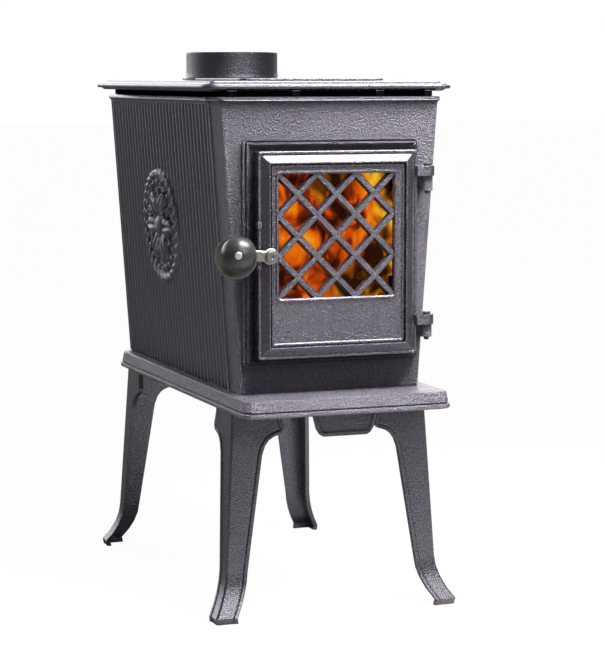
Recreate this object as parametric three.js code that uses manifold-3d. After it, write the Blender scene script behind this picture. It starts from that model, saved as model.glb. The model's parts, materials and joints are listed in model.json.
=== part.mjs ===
// A small cast-iron box stove on four flared legs, in millimetres.
// +X is the stove's right as it faces -Y, +Z is up and the floor is Z = 0.
import * as THREE from 'three';
import Module from 'manifold-3d';
import { mergeVertices, toCreasedNormals } from 'three/addons/utils/BufferGeometryUtils.js';

const wasm = await Module();
wasm.setup();

// ---- Driving dimensions ----
const GAP = 0.3;                 // air left between castings that touch
const WALL = 6;                  // thickness of the body castings

const BODY_BOTTOM = 270.8;       // body walls stand on the base plate here
const BODY_TOP = 621.5;          // top of the rim that runs round the body
const BODY_HALF_LOW = 115.1;     // half width of the body at its foot
const BODY_TAPER = 0.0701;       // growth of the half width per mm of height
const BODY_FRONT = -204.6;
const BODY_BACK = 260.7;
const CORNER_RETURN = -160;      // the front casting turns back to this Y
const CORNER_RADIUS = 5;

const RIB_PITCH = 13.2;
const RIB_COUNT = 31;
const RIB_WIDTH = 9;
const RIB_DEPTH = 3;
const RIB_FIRST = -152;
const RIB_TOP = 613;

const TOP = { x: 160, front: -207.7, back: 270, radius: 19, under: 628, face: 640 };
const LID = { x: 94, front: -150, back: 40, radius: 14, lap: 8, top: 643 };
const FLUE = { y: 158, outer: 61, bore: 56, flange: 66, top: 677 };

const BASE = { x: 133.4, front: -270, back: 259.1, radius: 17, under: 250, face: 270.5 };
const BASE_WALL = 7;
const BASE_CEILING = 262;        // underside of the base plate's web

const OPENING = { x: 82, low: 330, high: 542 };
const FRAME = { x: 113, low: 302.4, high: 573, width: 9.6 };
const DOOR = { left: -99.2, right: 104, low: 312.6, high: 558.4, back: -205.4, face: -222.9 };
const DOOR_HOLLOW = 92;          // half width of the room behind the door's face
const DOOR_WALL = 6;
const WINDOW = { half: 73.5, z: 458 };
const LATTICE_PITCH = 49;
const LATTICE_WIDTH = 10.2;
const LATTICE_CREST = 5.4;
const HINGE = { x: 117, y: -222, pin: 3.2, lug: 8.5, knuckle: 6.5 };
const HINGE_LEVELS = [
  { name: 'upper', knuckle: [509, 526.7], lug: [527, 539] },
  { name: 'lower', knuckle: [332.5, 347.7], lug: [348, 360] },
];

const LATCH = { x: -87, z: 436, y: -228.4, thick: 5.6, boss: 9.5, half: 6.3 };
const KNOB_AXIS = new THREE.Vector3(-0.34, -0.94, 0).normalize();
const KNOB = { centre: new THREE.Vector3(-131.8, -247, 441.2), radius: 21 };
const GUARD = { centre: new THREE.Vector3(-130.7, -233.6, 436.4), radius: 25.2 };

const LEG = {
  cornerX: 124.7, frontY: -200.5, backY: 237.6, top: 256, thick: 5,
  leanX: 0.0585, leanY: 0.051, flareX: 17.5, flareY: 18.7,
  flareFrom: 58, flareTo: 6, bead: 4.8, groove: 6.4,
};
const LEG_FRONT = { shoulder: 67.5, shank: 40.5, ankle: 27.3, foot: 27.4 };
const LEG_SIDE = { shoulder: 62, shank: 35, ankle: 23.5, foot: 25 };
const LEG_BOLT_INSET = 27;       // from the leg's outer corner, both ways

const APRON = { y: -252, thick: 4.5, halfTop: 44, halfLow: 33, low: 222 };
const AIR = { count: 3, pitch: 30, width: 15, front: -192, back: -183 };
const TIE = { x: 98.5, front: -189.5, back: 245, radius: 3.5 };

// ---- Materials ----
const paint = (color, metalness = 0.45, roughness = 0.55) => () =>
  new THREE.MeshStandardMaterial({ color, metalness, roughness });
const IRON = paint(0x4a484f);
const INNER_IRON = paint(0x3a3432, 0.35, 0.8);
const STEEL = paint(0xb4b4b8, 0.9, 0.35);
const DARK_STEEL = paint(0x2f2e31, 0.8, 0.4);
const ROPE = paint(0x8d8a80, 0, 1);
const glassPaint = () => new THREE.MeshStandardMaterial({
  color: 0xd8c8a8, roughness: 0.05, transparent: true, opacity: 0.35,
});

const group = new THREE.Group();
group.name = 'box_stove';

function place(name, solidShape, material) {
  const mesh = new THREE.Mesh(toCreasedNormals(geometryOf(solidShape), 0.5), material());
  mesh.name = name;
  group.add(mesh);
}

// ---- Solids ----
function solid(geometry) {
  const bare = geometry.clone();
  bare.deleteAttribute('normal');
  bare.deleteAttribute('uv');
  const merged = mergeVertices(bare, 1e-4);
  return new wasm.Manifold(new wasm.Mesh({
    numProp: 3,
    vertProperties: new Float32Array(merged.attributes.position.array),
    triVerts: new Uint32Array(merged.index.array),
  }));
}

function geometryOf(shape) {
  const mesh = shape.getMesh();
  const geometry = new THREE.BufferGeometry();
  geometry.setAttribute('position', new THREE.BufferAttribute(mesh.vertProperties, 3));
  geometry.setIndex(new THREE.BufferAttribute(mesh.triVerts, 1));
  return geometry;
}

const fuse = (...shapes) => shapes.reduce((sum, shape) => sum.add(shape));
const carve = (shape, ...tools) => tools.reduce((rest, tool) => rest.subtract(tool), shape);

function block(x0, x1, y0, y1, z0, z1) {
  const box = new THREE.BoxGeometry(x1 - x0, y1 - y0, z1 - z0);
  box.translate((x0 + x1) / 2, (y0 + y1) / 2, (z0 + z1) / 2);
  return solid(box);
}

// A round bar from one point to another.
function bar(from, to, radius, sides = 12) {
  const along = new THREE.Vector3().subVectors(to, from);
  const geometry = new THREE.CylinderGeometry(radius, radius, along.length(), sides);
  geometry.translate(0, along.length() / 2, 0);
  const turn = new THREE.Quaternion()
    .setFromUnitVectors(new THREE.Vector3(0, 1, 0), along.normalize());
  geometry.applyQuaternion(turn);
  geometry.translate(from.x, from.y, from.z);
  return solid(geometry);
}

const upright = (x, y, z0, z1, radius, sides = 12) =>
  bar(new THREE.Vector3(x, y, z0), new THREE.Vector3(x, y, z1), radius, sides);
const alongY = (x, z, y0, y1, radius, sides = 12) =>
  bar(new THREE.Vector3(x, y0, z), new THREE.Vector3(x, y1, z), radius, sides);

function signedVolume(positions, index) {
  const [a, b, c] = [new THREE.Vector3(), new THREE.Vector3(), new THREE.Vector3()];
  let sum = 0;
  for (let i = 0; i < index.length; i += 3) {
    a.fromArray(positions, 3 * index[i]);
    b.fromArray(positions, 3 * index[i + 1]);
    c.fromArray(positions, 3 * index[i + 2]);
    sum += a.dot(b.cross(c));
  }
  return sum;
}

// The face that fills one loop of points, as triangles in the loop's own turning sense.
function capOf(loop) {
  const normal = new THREE.Vector3();
  loop.forEach((p, i) => normal.add(new THREE.Vector3().crossVectors(p, loop[(i + 1) % loop.length])));
  const drop = ['x', 'y', 'z'].reduce((m, k) => (Math.abs(normal[k]) > Math.abs(normal[m]) ? k : m));
  const [u, v] = { x: ['y', 'z'], y: ['x', 'z'], z: ['x', 'y'] }[drop];
  const flat = loop.map((p) => new THREE.Vector2(p[u], p[v]));
  const faces = THREE.ShapeUtils.triangulateShape(flat, []);
  return THREE.ShapeUtils.area(flat) > 0 ? faces : faces.map(([a, b, c]) => [a, c, b]);
}

// A skin over a stack of loops with equal point counts: capped at both ends, or a closed ring.
function loft(loops, ring = false) {
  const count = loops[0].length;
  const positions = loops.flat().flatMap((p) => [p.x, p.y, p.z]);
  const index = [];
  const bands = ring ? loops.length : loops.length - 1;
  for (let i = 0; i < bands; i++) {
    const a = i * count;
    const b = ((i + 1) % loops.length) * count;
    for (let j = 0; j < count; j++) {
      const k = (j + 1) % count;
      index.push(a + j, a + k, b + k, a + j, b + k, b + j);
    }
  }
  if (!ring) {
    const last = (loops.length - 1) * count;
    capOf(loops[0]).forEach(([p, q, r]) => index.push(p, r, q));
    capOf(loops.at(-1)).forEach(([p, q, r]) => index.push(last + p, last + q, last + r));
  }
  if (signedVolume(positions, index) < 0) {
    for (let i = 0; i < index.length; i += 3) {
      [index[i + 1], index[i + 2]] = [index[i + 2], index[i + 1]];
    }
  }
  const geometry = new THREE.BufferGeometry();
  geometry.setAttribute('position', new THREE.Float32BufferAttribute(positions, 3));
  geometry.setIndex(index);
  return solid(geometry);
}

// A rectangle with rounded corners, as points in the plane that `at` gives.
function roundRect(x0, x1, y0, y1, radius, at, steps = 3) {
  const corners = [[x1, y0, -1], [x1, y1, 0], [x0, y1, 1], [x0, y0, 2]];
  return corners.flatMap(([x, y, quarter]) => {
    const cx = x === x0 ? x0 + radius : x1 - radius;
    const cy = y === y0 ? y0 + radius : y1 - radius;
    return Array.from({ length: steps + 1 }, (_, i) => {
      const angle = (quarter + i / steps) * (Math.PI / 2);
      return at(cx + radius * Math.cos(angle), cy + radius * Math.sin(angle));
    });
  });
}

const level = (z) => (x, y) => new THREE.Vector3(x, y, z);      // a plane seen from above
const facing = (y) => (x, z) => new THREE.Vector3(x, y, z);     // a plane seen from the front

// Stack of one outline drawn in by `inset` at each depth: [inset, depth] pairs.
function stack(outline, steps, plane, corner = 3, ring = false) {
  const { x0, x1, y0, y1, radius } = outline;
  const loops = steps.map(([inset, depth]) => roundRect(x0 + inset, x1 - inset, y0 + inset,
    y1 - inset, Math.max(radius - inset, 0.8), plane(depth), corner));
  return loft(loops, ring);
}

const prism = (outline, z0, z1) => stack(outline, [[0, z0], [0, z1]], level);
const frontPrism = (outline, y0, y1) => stack(outline, [[0, y0], [0, y1]], facing);
const halfWidth = (z) => BODY_HALF_LOW + (z - BODY_BOTTOM) * BODY_TAPER;

// Turned shape: [radius, distance along the axis] pairs, closed by the axis or by itself.
function turned(profile, origin, axis, sides = 32) {
  const points = profile.map(([r, s]) => new THREE.Vector2(r, s));
  const geometry = new THREE.LatheGeometry([...points, points[0]], sides);
  geometry.applyQuaternion(new THREE.Quaternion().setFromUnitVectors(new THREE.Vector3(0, 1, 0), axis));
  geometry.translate(origin.x, origin.y, origin.z);
  const merged = mergeVertices(geometry.deleteAttribute('normal').deleteAttribute('uv'), 1e-4);
  const index = [];
  for (let i = 0; i < merged.index.count; i += 3) {
    const [a, b, c] = [0, 1, 2].map((k) => merged.index.getX(i + k));
    if (a !== b && b !== c && c !== a) index.push(a, b, c);
  }
  if (signedVolume(merged.attributes.position.array, index) < 0) {
    for (let i = 0; i < index.length; i += 3) {
      [index[i + 1], index[i + 2]] = [index[i + 2], index[i + 1]];
    }
  }
  merged.setIndex(index);
  return solid(merged);
}

function mirrored(shape) {
  const geometry = geometryOf(shape);
  geometry.scale(-1, 1, 1);
  const index = geometry.index;
  for (let i = 0; i < index.count; i += 3) {
    const second = index.getX(i + 1);
    index.setX(i + 1, index.getX(i + 2));
    index.setX(i + 2, second);
  }
  return solid(geometry);
}

function mirroredFrontToBack(shape, sumOfY) {
  const geometry = geometryOf(shape);
  geometry.rotateZ(Math.PI);
  geometry.translate(0, sumOfY, 0);
  return mirrored(solid(geometry));
}

// ---- Base plate with the ash lip ----
function basePlate() {
  const outline = { x0: -BASE.x, x1: BASE.x, y0: BASE.front, y1: BASE.back, radius: BASE.radius };
  const edge = [[1.6, BASE.under], [0, BASE.under + 1.5], [0, 254.6], [0.6, 255.6], [3.2, 256],
    [3.2, 256.8], [2.1, 257.6], [4.6, 269.6], [5.8, BASE.face]];
  const pocket = { x0: outline.x0 + BASE_WALL, x1: outline.x1 - BASE_WALL,
    y0: outline.y0 + BASE_WALL, y1: outline.y1 - BASE_WALL, radius: 10 };
  let plate = carve(stack(outline, edge, level), prism(pocket, BASE.under - 1, BASE_CEILING));
  plate = fuse(plate, locatingRidge(), ...legPoints().map(([x, y]) =>
    upright(x, y, LEG.top + GAP, BASE_CEILING + 1, 8)), ...slideRails());
  return carve(plate, ...legPoints().map(([x, y]) => upright(x, y, LEG.top, 265, 5, 8)),
    ...tiePoints().map(([x, y]) => upright(x, y, 255, 275, TIE.radius + 0.6, 8)), ...airWindows(255, 275));
}

function locatingRidge() {
  const outline = { x0: -107.5, x1: 107.5, y0: BODY_FRONT + WALL + 1.3, y1: BODY_BACK - WALL - 1.3,
    radius: 4 };
  const ridge = [[0, 269.5], [0, 276], [4, 276], [4, 269.5]];
  return stack(outline, ridge, level, 2, true);
}

const signs = [-1, 1];
const legPoints = () => signs.flatMap((s) => [
  [s * (LEG.cornerX - LEG_BOLT_INSET), LEG.frontY + LEG_BOLT_INSET],
  [s * (LEG.cornerX - LEG_BOLT_INSET), LEG.backY - LEG_BOLT_INSET]]);
const tiePoints = () => signs.flatMap((s) => [[s * TIE.x, TIE.front], [s * TIE.x, TIE.back]]);

function airWindows(z0, z1, shift = 0) {
  return Array.from({ length: AIR.count }, (_, i) => {
    const x = (i - (AIR.count - 1) / 2) * AIR.pitch + shift;
    return block(x - AIR.width / 2, x + AIR.width / 2, AIR.front, AIR.back, z0, z1);
  });
}

// Two angle rails under the web carry the air slide.
function slideRails() {
  const spans = [[-55, -26, -202, -198, -194], [26, 55, -202, -198, -194], [-55, 55, -173, -177, -181]];
  return spans.map(([x0, x1, outer, inner, lip]) => fuse(
    block(x0, x1, Math.min(outer, inner), Math.max(outer, inner), 254.5, BASE_CEILING + 1),
    block(x0, x1, Math.min(outer, lip), Math.max(outer, lip), 254.5, 257.6)));
}

// ---- Body castings ----
// The front casting in plan at height z: a channel whose sides turn back to the ribbed plates.
function frontChannel(z, proud = 0) {
  const half = halfWidth(z);
  const r = CORNER_RADIUS;
  const arc = (cx, from, to) => Array.from({ length: 4 }, (_, i) => {
    const angle = (from + (to - from) * (i / 3)) * (Math.PI / 180);
    return [cx + (r + proud) * Math.cos(angle), BODY_FRONT + r + (r + proud) * Math.sin(angle)];
  });
  const side = half + proud;
  const right = [...arc(half - r, 270, 360), [side, -165], [side + 0.9, -164], [side + 0.9, -161],
    [side, CORNER_RETURN], [half - WALL, CORNER_RETURN], [half - WALL, BODY_FRONT + WALL]];
  const left = [...right].reverse().map(([x, y]) => [-x, y]);
  return [...right, ...left].map(([x, y]) => new THREE.Vector3(x, y, z));
}

// Cove and bead that finish the top of every body casting: [height, how far it stands proud].
const RIM = [[BODY_TOP - 8.5, 0], [BODY_TOP - 6.3, 0.7], [BODY_TOP - 4.2, 2.2],
  [BODY_TOP - 3.2, 2.8], [BODY_TOP - 0.9, 2.8], [BODY_TOP, 1.9]];

function frontPlate() {
  const shell = loft([[BODY_BOTTOM, 0], ...RIM].map(([z, proud]) => frontChannel(z, proud)));
  const opening = frontPrism({ x0: -OPENING.x, x1: OPENING.x, y0: OPENING.low, y1: OPENING.high,
    radius: 6 }, BODY_FRONT - 8, BODY_FRONT + WALL + 4);
  return carve(fuse(shell, doorFrame(), ...HINGE_LEVELS.map(hingeKnuckle), catchBlock()), opening,
    ...HINGE_LEVELS.map((l) => upright(HINGE.x, HINGE.y, l.knuckle[0] - 1, l.knuckle[1] + 1,
      HINGE.pin + 0.3)));
}

// Raised moulding of two beads and a ledge round the top, the left and the foot of the door.
function doorFrame() {
  const outline = { x0: -FRAME.x, x1: FRAME.x - 1, y0: FRAME.low, y1: FRAME.high, radius: 6 };
  const rise = (h) => BODY_FRONT - h;
  const beads = [[0, rise(-1)], [0, rise(2.2)], [0.8, rise(3.2)], [2.6, rise(3.2)], [3.3, rise(1.4)],
    [4.1, rise(1.4)], [4.8, rise(4.6)], [6.9, rise(4.6)], [7.6, rise(2)], [FRAME.width, rise(1.6)],
    [FRAME.width, rise(-1)]];
  const ring = stack(outline, beads, facing, 2, true);
  return carve(ring, block(FRAME.x - FRAME.width - 2, FRAME.x + 1, BODY_FRONT - 8, BODY_FRONT,
    FRAME.low + FRAME.width, FRAME.high - FRAME.width));
}

function hingeKnuckle({ knuckle: [z0, z1] }) {
  return fuse(upright(HINGE.x, HINGE.y, z0, z1, HINGE.knuckle),
    block(HINGE.x - 7, HINGE.x + 1.5, HINGE.y, BODY_FRONT + 1, z0, z1));
}

// The plain block that the latch lever rests on.
function catchBlock() {
  const [x0, x1] = [-119, -104];
  const outline = (y, lift) => [[x0, 421 + lift], [x1, 421 + lift], [x1, 430.2], [x0, 430.2]]
    .map(([x, z]) => new THREE.Vector3(x, y, z));
  return loft([outline(BODY_FRONT + 1, -5), outline(BODY_FRONT - 12, 0), outline(-230.5, 4)]);
}

// Plan of the right side plate at height z, ribbed on its outer face.
function ribbedPlan(z) {
  const half = halfWidth(z);
  const rib = [[0, 1], [0.2, 0.2], [0.8, 0.2], [1, 1]];
  const outer = Array.from({ length: RIB_COUNT }, (_, i) => rib.map(([across, down]) =>
    [half + 1 - down * RIB_DEPTH, RIB_FIRST + i * RIB_PITCH + across * RIB_WIDTH])).flat();
  const plan = [[half - WALL, CORNER_RETURN + GAP], [half, CORNER_RETURN + GAP], [half, -155],
    ...outer, [half - 0.2, BODY_BACK - 2.2], [half - 2, BODY_BACK], [half - WALL, BODY_BACK]];
  return plan.map(([x, y]) => new THREE.Vector3(x, y, z));
}

function plainPlan(z, proud) {
  const half = halfWidth(z);
  return [[half - WALL, CORNER_RETURN + GAP], [half + proud, CORNER_RETURN + GAP],
    [half + proud, BODY_BACK - 1], [half + proud - 1, BODY_BACK], [half - WALL, BODY_BACK]]
    .map(([x, y]) => new THREE.Vector3(x, y, z));
}

function sidePlate() {
  const ribbed = loft([ribbedPlan(BODY_BOTTOM), ribbedPlan(RIB_TOP)]);
  const rim = loft(RIM.map(([z, proud]) => plainPlan(z, proud)));
  return fuse(ribbed, rim, medallion());
}

// Cast plaque on the side plate's slant: a disc with a raised rim, eight leaves and a boss.
function medallion() {
  const leaves = new THREE.Shape();
  const steps = 32;
  for (let i = 0; i < steps; i++) {
    const angle = (i / steps) * 2 * Math.PI;
    const r = 20 + 33 * Math.abs(Math.cos(4 * angle)) ** 0.8;
    leaves[i ? 'lineTo' : 'moveTo'](r * Math.cos(angle), r * Math.sin(angle));
  }
  const bevel = { depth: 2, bevelThickness: 1.4, bevelSize: 1.6, bevelSegments: 1, steps: 1 };
  const flower = solid(new THREE.ExtrudeGeometry(leaves, bevel).translate(0, 0, 0.6));
  const axis = new THREE.Vector3(0, 0, 1);
  const foot = new THREE.Vector3(0, 0, -3.2);
  const disc = turned([[0, 0], [74, 0], [74, 5.4], [68, 7.6], [62, 4.2], [0, 4.2]], foot, axis, 28);
  const boss = turned([[0, 0], [13, 0], [12, 8.6], [0, 11]], foot, axis, 12);
  const geometry = geometryOf(fuse(disc, flower, boss));
  geometry.rotateX(Math.PI / 2);
  geometry.rotateZ(Math.PI / 2);
  geometry.rotateY(Math.atan(BODY_TAPER));
  geometry.translate(halfWidth(455) - 0.6, 62, 455);
  return solid(geometry);
}

function backPlate() {
  const plan = (z, proud) => {
    const half = halfWidth(z) - WALL - GAP;
    return [[-half, BODY_BACK - WALL], [half, BODY_BACK - WALL], [half, BODY_BACK + proud],
      [-half, BODY_BACK + proud]].map(([x, y]) => new THREE.Vector3(x, y, z));
  };
  const wall = loft([[BODY_BOTTOM, 0], ...RIM].map(([z, proud]) => plan(z, proud)));
  const boss = turned([[50, 0], [72, 0], [72, 6.5], [70, 8], [50, 8]],
    new THREE.Vector3(0, BODY_BACK - WALL, 545), new THREE.Vector3(0, 1, 0), 24);
  return carve(fuse(wall, boss), alongY(0, 545, BODY_BACK - 12, BODY_BACK + 12, 54, 24),
    ...outletBolts().map(([x, z]) => alongY(x, z, BODY_BACK - 12, BODY_BACK + 12, 3.5, 8)));
}

const outletBolts = () => signs.map((s) => [s * 62.5, 545]);

// Blanking cover over the rear flue outlet.
function outletCover() {
  const dish = turned([[0, 0], [70, 0], [70, 3], [67.5, 4.6], [54, 4.6], [50, 3], [0, 3]],
    new THREE.Vector3(0, BODY_BACK + 2.3, 545), new THREE.Vector3(0, 1, 0), 24);
  return carve(dish, ...outletBolts().map(([x, z]) => alongY(x, z, BODY_BACK, BODY_BACK + 12, 3.5, 8)));
}

function outletBolt([x, z]) {
  const face = BODY_BACK + 7.2;
  return fuse(alongY(x, z, BODY_BACK - 5.5, face, 3, 8), alongY(x, z, face - 0.2, face + 2, 5.5, 6));
}

// ---- Top castings ----
function topPlate() {
  const outline = { x0: -TOP.x, x1: TOP.x, y0: TOP.front, y1: TOP.back, radius: TOP.radius };
  const edge = [[12, TOP.under], [9, 628.3], [6, 630.4], [1.2, 630.9], [0, 632.1], [0, 634.2],
    [1.2, 635.2], [4.6, 635.6], [5.2, 636.6], [12.8, 638.6], [13.6, TOP.face]];
  const lidHole = prism({ x0: LID.lap - LID.x, x1: LID.x - LID.lap, y0: LID.front + LID.lap,
    y1: LID.back - LID.lap, radius: 8 }, TOP.under - 1, TOP.face + 1);
  const bosses = tiePoints().map(([x, y]) => upright(x, y, 608, TOP.under + 1, 7, 8));
  const plate = fuse(carve(stack(outline, edge, level), lidHole), topSkirt(), ...spacers(), ...bosses);
  return carve(plate, upright(0, FLUE.y, TOP.under - 1, TOP.face + 1, 54, 24),
    ...collarBolts().map(([x, y]) => upright(x, y, TOP.under - 1, TOP.face + 1, 3.3, 8)),
    ...tiePoints().map(([x, y]) => upright(x, y, 600, 626, TIE.radius + 0.6, 8)));
}

// Tongue under the top plate that stands inside the body walls.
function topSkirt() {
  const outline = { x0: -131.5, x1: 131.5, y0: BODY_FRONT + WALL + 1.4, y1: BODY_BACK - WALL - 1.5,
    radius: 5 };
  return stack(outline, [[0, 613], [0, TOP.under + 1], [5, TOP.under + 1], [5, 613]], level, 2, true);
}

// Lumps that hold the top plate a finger's breadth off the body's rim.
function spacers() {
  const along = [-125, -45, 62, 125].map((x) => block(x - 5, x + 5, BODY_FRONT - 1,
    BODY_FRONT + WALL + 2, BODY_TOP + GAP, TOP.under + 1));
  const sides = signs.flatMap((s) => [80, 232].map((y) => block(Math.min(s * 131, s * 139),
    Math.max(s * 131, s * 139), y - 6, y + 6, BODY_TOP + GAP, TOP.under + 1)));
  return [...along, ...sides];
}

function cookingLid() {
  const outline = { x0: -LID.x, x1: LID.x, y0: LID.front, y1: LID.back, radius: LID.radius };
  const plate = stack(outline, [[0.5, TOP.face + GAP], [0, TOP.face + 0.9], [0, LID.top - 0.7],
    [0.8, LID.top]], level);
  const ringOutline = { x0: LID.lap + 1.5 - LID.x, x1: LID.x - LID.lap - 1.5,
    y0: LID.front + LID.lap + 1.5, y1: LID.back - LID.lap - 1.5, radius: 7 };
  const z = TOP.face + 1;
  return fuse(plate, stack(ringOutline, [[0, 633], [0, z], [5, z], [5, 633]], level, 2, true));
}

const collarBolts = () => signs.map((s) => [s * 31, FLUE.y + 66]);

function flueCollar() {
  const base = TOP.face + GAP;
  const profile = [[55, base], [FLUE.flange, base], [FLUE.flange, base + 2.6],
    [FLUE.outer + 1.6, base + 3.6], [FLUE.outer, base + 9], [FLUE.outer - 0.2, FLUE.top - 0.8],
    [FLUE.outer - 1, FLUE.top], [FLUE.bore, FLUE.top], [55, base + 5]];
  const collar = turned(profile, new THREE.Vector3(0, FLUE.y, 0), new THREE.Vector3(0, 0, 1), 32);
  const ears = collarBolts().map(([x, y]) => upright(x, y, base, base + 3.4, 8, 10));
  const bore = upright(0, FLUE.y, base - 1, base + 8, 58, 16);
  const holes = collarBolts().map(([x, y]) => upright(x, y, base - 1, base + 5, 3.3, 8));
  return carve(fuse(collar, carve(fuse(...ears), bore)), ...holes);
}

function collarBolt([x, y]) {
  const seat = TOP.face + 4;
  return fuse(upright(x, y, 629, seat, 2.9, 8), upright(x, y, seat - 0.1, seat + 4, 5.5, 6));
}

// ---- Door ----
// Tray-shaped casting: a beaded rim, wider on the hinge side, round a raised and bevelled field.
function doorShell() {
  const out = (h) => DOOR.face - h;
  const edge = { x0: DOOR.left, x1: DOOR.right, y0: DOOR.low, y1: DOOR.high, radius: 3.5 };
  const rim = [[0, DOOR.back], [0, out(-0.9)], [0.8, out(0)], [3, out(0)], [3.7, out(-1.2)]];
  const field = { x0: -94.6, x1: 98, y0: DOOR.low + 4.6, y1: DOOR.high - 4.9, radius: 1 };
  const mould = [[0, out(-2)], [0, out(-0.7)], [8.6, out(3.7)], [9.8, out(3.7)], [10.1, out(-1)],
    [11.3, out(-1)], [11.7, out(1)], [12.5, out(1.4)], [13.9, out(1.4)], [14.7, out(0)]];
  const inside = { x0: -DOOR_HOLLOW, x1: DOOR_HOLLOW, y0: DOOR.low + DOOR_WALL,
    y1: DOOR.high - DOOR_WALL, radius: 3 };
  return carve(fuse(stack(edge, rim, facing, 2), stack(field, mould, facing, 1)),
    frontPrism(inside, DOOR.face + 5.9, DOOR.back + 1));
}

const windowBox = (grow) => ({ x0: -WINDOW.half - grow, x1: WINDOW.half + grow,
  y0: WINDOW.z - WINDOW.half - grow, y1: WINDOW.z + WINDOW.half + grow, radius: 2 + grow });

function windowBead() {
  const steps = [[0, DOOR.face + 2], [0, DOOR.face], [0.9, DOOR.face - 1.4], [2.8, DOOR.face - 1.4],
    [4.2, DOOR.face + 0.8], [4.2, DOOR.face + 2]];
  return stack(windowBox(4), steps, facing, 2, true);
}

// One diagonal bar of the lattice: a long roof-shaped prism through the window's middle line.
function latticeBar(offset, slope) {
  const reach = 2 * WINDOW.half;
  const section = [[-LATTICE_WIDTH / 2, DOOR.face + 5.6], [LATTICE_WIDTH / 2, DOOR.face + 5.6],
    [LATTICE_CREST / 2, DOOR.face + 0.6], [-LATTICE_CREST / 2, DOOR.face + 0.6]];
  const along = new THREE.Vector3(1, 0, slope).normalize();
  const across = new THREE.Vector3(-slope, 0, 1).normalize();
  const middle = new THREE.Vector3(offset / 2, 0, WINDOW.z - (slope * offset) / 2);
  return loft([-reach, reach].map((s) => section.map(([w, y]) => middle.clone()
    .addScaledVector(along, s).addScaledVector(across, w).setY(y))));
}

function lattice() {
  const bars = signs.flatMap((slope) => [-2, -1, 0, 1, 2].map((k) =>
    latticeBar(k * LATTICE_PITCH, slope)));
  return fuse(...bars).intersect(frontPrism(windowBox(1), DOOR.face - 2, DOOR.face + 8));
}

function hingeLug({ lug: [z0, z1] }) {
  return fuse(upright(HINGE.x, HINGE.y, z0, z1, HINGE.lug, 14),
    block(DOOR.right - 3, HINGE.x, HINGE.y - HINGE.lug, HINGE.y + HINGE.lug, z0, z1));
}

function door() {
  const pad = alongY(LATCH.x, LATCH.z, DOOR.face + 3, LATCH.y + GAP, 9);
  const stops = [472, 425].map((z) => block(DOOR.left - 1.2, DOOR.left + 4, DOOR.face - 1.8,
    DOOR.face + 4, z - 4, z + 4));
  const shell = carve(fuse(doorShell(), windowBead()), frontPrism(windowBox(0), DOOR.face - 3,
    DOOR.face + 8));
  const whole = fuse(shell, lattice(), pad, ...stops, ...HINGE_LEVELS.map(hingeLug));
  return carve(whole, alongY(LATCH.x, LATCH.z, DOOR.face + 4.3, LATCH.y - 2, 3.3, 10),
    ...HINGE_LEVELS.map((l) => upright(HINGE.x, HINGE.y, l.lug[0] - 1, l.lug[1] + 1, HINGE.pin + 0.3)));
}

function hingePin({ knuckle, lug }) {
  return fuse(upright(HINGE.x, HINGE.y, knuckle[0] - 3.5, lug[1] + 1, HINGE.pin),
    upright(HINGE.x, HINGE.y, lug[1] + GAP, lug[1] + 3, 5));
}

// Square-section rope seal that lies in the door's channel.
function doorRope() {
  const outline = { x0: 0.6 - DOOR_HOLLOW, x1: DOOR_HOLLOW - 0.6, y0: DOOR.low + 6.6,
    y1: DOOR.high - 6.6, radius: 6 };
  const y = -208.1;
  const section = [[0, y - 2.8], [0, y + 2.8], [6, y + 2.8], [6, y - 2.8]];
  return stack(outline, section, facing, 2, true);
}

const glassPane = () => frontPrism({ x0: -79, x1: 79, y0: WINDOW.z - 79, y1: WINDOW.z + 79, radius: 2 },
  DOOR.face + 6.2, DOOR.face + 10.2);

// Clip and screw that hold the glass against the back of the lattice.
function glassClip(side, z) {
  const glassBack = DOOR.face + 10.5;
  const x = (a, b) => [Math.min(side * a, side * b), Math.max(side * a, side * b)];
  const foot = block(...x(79.4, 84.4), DOOR.face + 6.2, glassBack + 1.8, z - 7, z + 7);
  const tongue = block(...x(71, 84.4), glassBack, glassBack + 1.8, z - 7, z + 7);
  return fuse(foot, tongue, alongY(side * 81.8, z, glassBack + 1, glassBack + 3.6, 2.4, 10));
}

// ---- Latch ----
function latchLever() {
  const { x, z, y, thick, boss, half } = LATCH;
  const neck = KNOB.centre.clone().addScaledVector(KNOB_AXIS, -19);
  const front = y - thick;
  const arm = [[x - 4, z + half], [x + 2, z + half], [x + 2, z - half], [x - 4, z - half],
    [neck.x, neck.z - half - 2], [neck.x - 8, neck.z - 4], [neck.x - 8, neck.z + 4],
    [neck.x, neck.z + half - 1.5]];
  const plan = (depth, inset) => arm.map(([px, pz]) => new THREE.Vector3(px, depth,
    pz - inset * Math.sign(pz - z)));
  const bar1 = loft([plan(y, 0), plan(front + 1.2, 0), plan(front, 1.2)]);
  const hub = stackRound(x, z, [[boss, y], [boss, front + 1], [boss - 1.2, front]]);
  const stem = bar(neck, KNOB.centre.clone().addScaledVector(KNOB_AXIS, 2.7), 6.5, 10);
  return carve(fuse(bar1, hub, stem, guard(), guardWeb(neck)),
    alongY(x, z, front - 2, y + 2, 3.6, 10));
}

const stackRound = (x, z, steps) => turned([[0, -steps[0][1]], ...steps.map(([r, y]) => [r, -y]),
  [0, -steps.at(-1)[1]]], new THREE.Vector3(x, 0, z), new THREE.Vector3(0, -1, 0), 16);

// Shallow dish behind the knob that keeps the hand off the hot lever.
function guard() {
  const r = GUARD.radius;
  return turned([[0, -6.5], [9, -6.5], [r - 3, -1.6], [r, 0.6], [r, 2], [r - 1.4, 2],
    [r - 4, 0.2], [9, -3.8], [0, -3.8]], GUARD.centre, KNOB_AXIS, 20);
}

const guardWeb = (neck) => bar(neck.clone().setY(LATCH.y - 2),
  GUARD.centre.clone().addScaledVector(KNOB_AXIS, -6), 5, 8);

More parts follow.
